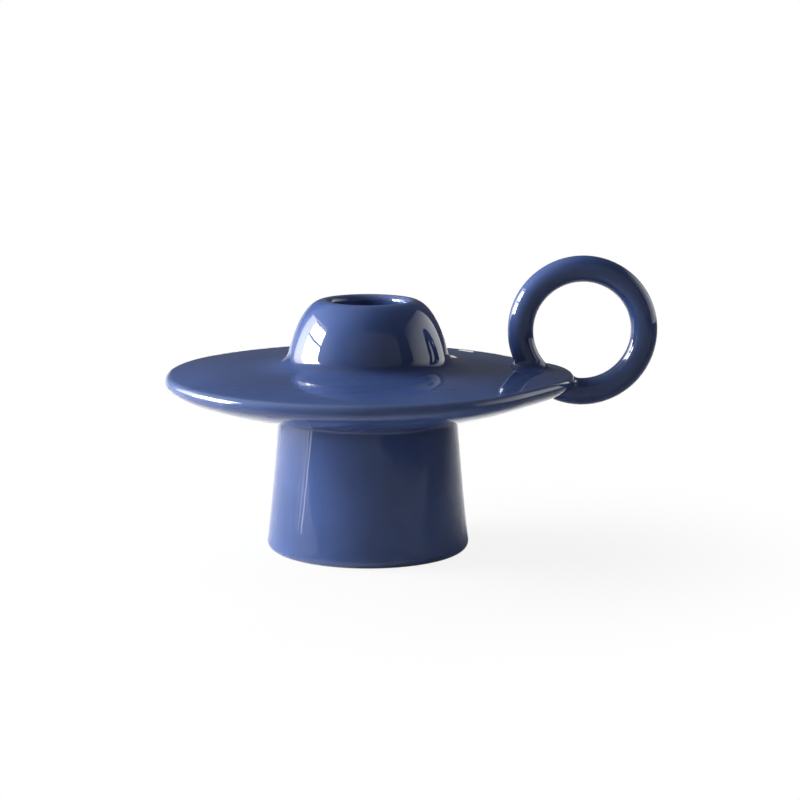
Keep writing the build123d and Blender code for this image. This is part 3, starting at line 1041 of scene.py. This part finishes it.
def card_light(stage):
    """A grey card on the right, brightest low down, and a small one above it."""
    levels = np.outer((0.9, 1.0, 1.0, 0.76, 0.44, 0.24), (0.35, 0.8, 1.0, 1.0, 1.0))
    sides = (1.07, -0.432, -0.03), (-0.205, 1.462, 0), (0, 0, 0.9)
    mirrored_panel("card", sides, stage.card, levels)
    lit_panel("card_glow", sides, stage.card * 0.35, levels, seen_by="surfaces")
    high_card = (0.5, -0.3, 0.92), (0.5, 0, 0), (0, 0.7, 0)
    lit_panel("high_card", high_card, stage.card * 0.8, seen_by="surfaces")


def room_lights(stage):
    """What only the glaze mirrors: the room behind the camera, and what lies far behind the part."""
    ground = (0.5 * MM - stage.level) / stage.reach
    paler = np.outer((0.5, 0.85, 1.0, 1.0, 1.0, 1.0), (1.0, 1.0))
    darker = np.outer((1.0, 1.0, 0.5, 0.1), (1.0, 1.0))
    for name, corner, across, up, radiance, levels in (
        ("front_room", (-1.9, -1.6, -0.05), (3.8, 0, 0), (0, 0, 1.7), stage.front, EVEN),
        ("front_floor", (-0.7, -1.6, ground), (1.05, 0, 0), (0, 1.52, 0), stage.front, NEARLY_EVEN),
        ("far_floor", (-1.0, 0.16, ground), (0.88, 0, 0), (0, 1.04, 0), stage.far_floor, paler),
        ("far_left", (-0.75, 1.0, ground), (0.5, 0.25, 0), (0, 0, 0.27), stage.far_left, darker),
        ("far_dark", (-0.14, 0.62, ground), (0.36, 0, 0), (0, 0, 0.065), stage.far_dark, EVEN),
        ("far_gap", (0.054, 0.615, ground + 0.027), (0.009, 0, 0), (0, 0, 0.033), stage.far_gap, EVEN),
    ):
        mirrored_panel(name, (corner, across, up), radiance, levels)


def fine_streaks(stage):
    """Fine upright strips of light beside the part, which its foot mirrors as thin lines."""
    start, step = Vector((-140 * MM - AXIS_X, -35 * MM, 0.5 * MM - stage.level)), 10.3 * MM
    width, rise = Vector((0.0, 2.4 * MM, 0.0)), Vector((0.0, -14.8 * MM, 35 * MM))
    for number, level in enumerate((1.0, 0.6, 0.3)):
        corner = start + Vector((0.0, step * number, 0.0))
        sides = [side / stage.reach for side in (corner, width, rise)]
        mirrored_panel(f"streak_{number}", sides, stage.streak * level)


def floor_material():
    """A floor painted pale by the window and darker to the right, as painted light and painted shadow, and to
    the camera almost white.

    Round the part the camera still sees a little of its shadow, and further off plain white.
    """
    material, tree = new_material("Floor With Painted Light And Shade")
    where = tree.nodes.new("ShaderNodeTexCoord").outputs["Object"]
    x, y, _ = split(tree, where)
    across = maths(tree, "ADD", x, maths(tree, "MULTIPLY", y, -0.6))
    # Painted light and shade: the floor's colour is pale on the window's side and dark to the right, standing
    # for the window's light and the part's shadow
    tone = eased_range(tree, across, low=-0.08, high=0.3, start=0.84, end=0.18)
    matt = add_node(tree, "ShaderNodeBsdfDiffuse", {"Color": tone})
    reach = add_node(tree, "ShaderNodeVectorMath", {0: where}, operation="LENGTH").outputs["Value"]
    far = eased_range(tree, reach, low=0.05, high=0.14, start=0.88)
    ray = tree.nodes.new("ShaderNodeLightPath")
    blend = add_node(tree, "ShaderNodeMixShader", {
        0: maths(tree, "MULTIPLY", far, ray.outputs["Is Camera Ray"]),
        1: matt.outputs[0],
        2: tree.nodes.new("ShaderNodeEmission").outputs[0],
    })
    surface(tree, blend)
    return material


def room_world(strength, haze):
    """A white background for the camera, and a dim even room for reflections and for the rest."""
    world = bpy.data.worlds.new("Studio")
    bpy.context.scene.world = world
    tree = blank_tree(world)
    ray = tree.nodes.new("ShaderNodeLightPath")
    seen = maths(tree, "MULTIPLY", ray.outputs["Is Camera Ray"], 1.0 - strength)
    mirrored = maths(tree, "MULTIPLY", ray.outputs["Is Glossy Ray"], haze - strength)
    level = maths(tree, "ADD", maths(tree, "ADD", seen, mirrored), strength)
    inputs = {"Color": (1.0, 1.0, 1.0, 1.0), "Strength": level}
    sky = add_node(tree, "ShaderNodeBackground", inputs)
    add_node(tree, "ShaderNodeOutputWorld", {"Surface": sky.outputs[0]})


class ChamberstickStage(bpy.types.Operator):
    """Sets the floor, the soft lights and the camera"""
    bl_idname = "chamberstick.stage"
    bl_label = "Set the Stage"

    def execute(self, context):
        stage = context.scene.stick_stage
        side = stage.floor_side / 2
        corners = [(-side, -side, 0), (side, -side, 0), (side, side, 0), (-side, side, 0)]
        floor_mesh = bpy.data.meshes.new("floor")
        floor_mesh.from_pydata(corners, [], [(0, 1, 2, 3)])
        floor_mesh.materials.append(floor_material())
        floor = new_object("floor", floor_mesh)

        for light in (window_light, wall_light, card_light, room_lights, fine_streaks):
            light(stage)
        room_world(stage.room, stage.haze)

        camera_data = bpy.data.cameras.new("camera")
        camera_data.sensor_width = 36.0
        camera_data.lens = stage.lens
        camera_data.clip_start = 10 * MM
        camera = new_object("camera", camera_data)
        place = Matrix.Translation((AXIS_X + stage.sideways, -stage.distance, stage.height))
        turn = Matrix.Rotation(stage.yaw, 4, "Z") @ Matrix.Rotation(math.pi / 2 - stage.pitch, 4, "X")
        camera.matrix_world = place @ turn @ Matrix.Rotation(-stage.roll, 4, "Z")
        context.scene.camera = camera
        context.scene.view_settings.view_transform = "Standard"
        return {"FINISHED"}


OPERATORS = (
    ChamberstickFoot, ChamberstickPlate, ChamberstickDome, ChamberstickCup, ChamberstickRing,
    ChamberstickStage,
)
GROUPS = {
    "stick_foot": FootShape,
    "stick_plate": PlateShape,
    "stick_dome": DomeShape,
    "stick_cup": CupShape,
    "stick_ring": RingShape,
    "stick_glaze": GlazeFinish,
    "stick_stage": StageSettings,
}


class ChamberstickPanel(bpy.types.Panel):
    """Lists the chamberstick's pieces and their sizes"""
    bl_idname = "CHAMBERSTICK_PT_panel"
    bl_label = "Chamberstick"
    bl_space_type = "VIEW_3D"
    bl_region_type = "UI"
    bl_category = "Chamberstick"

    def draw(self, context):
        for operator in OPERATORS:
            self.layout.operator(operator.bl_idname)
        for group, kind in GROUPS.items():
            box = self.layout.box()
            for label in kind.__annotations__:
                box.prop(getattr(context.scene, group), label)


CLASSES = (*GROUPS.values(), *OPERATORS, ChamberstickPanel)


def register():
    """Adds the classes and the groups of settings."""
    for kind in CLASSES:
        bpy.utils.register_class(kind)
    for name, kind in GROUPS.items():
        setattr(bpy.types.Scene, name, PointerProperty(type=kind))


def unregister():
    """Takes the classes and the groups of settings away."""
    for name in GROUPS:
        delattr(bpy.types.Scene, name)
    for kind in reversed(CLASSES):
        bpy.utils.unregister_class(kind)


def main():
    """Builds the whole part and its stage."""
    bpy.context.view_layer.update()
    register()
    turning_tree()
    bending_tree()
    bpy.ops.chamberstick.foot()
    bpy.ops.chamberstick.plate()
    bpy.ops.chamberstick.dome()
    bpy.ops.chamberstick.cup()
    bpy.ops.chamberstick.ring()
    bpy.ops.chamberstick.stage()


if __name__ == "__main__":
    main()
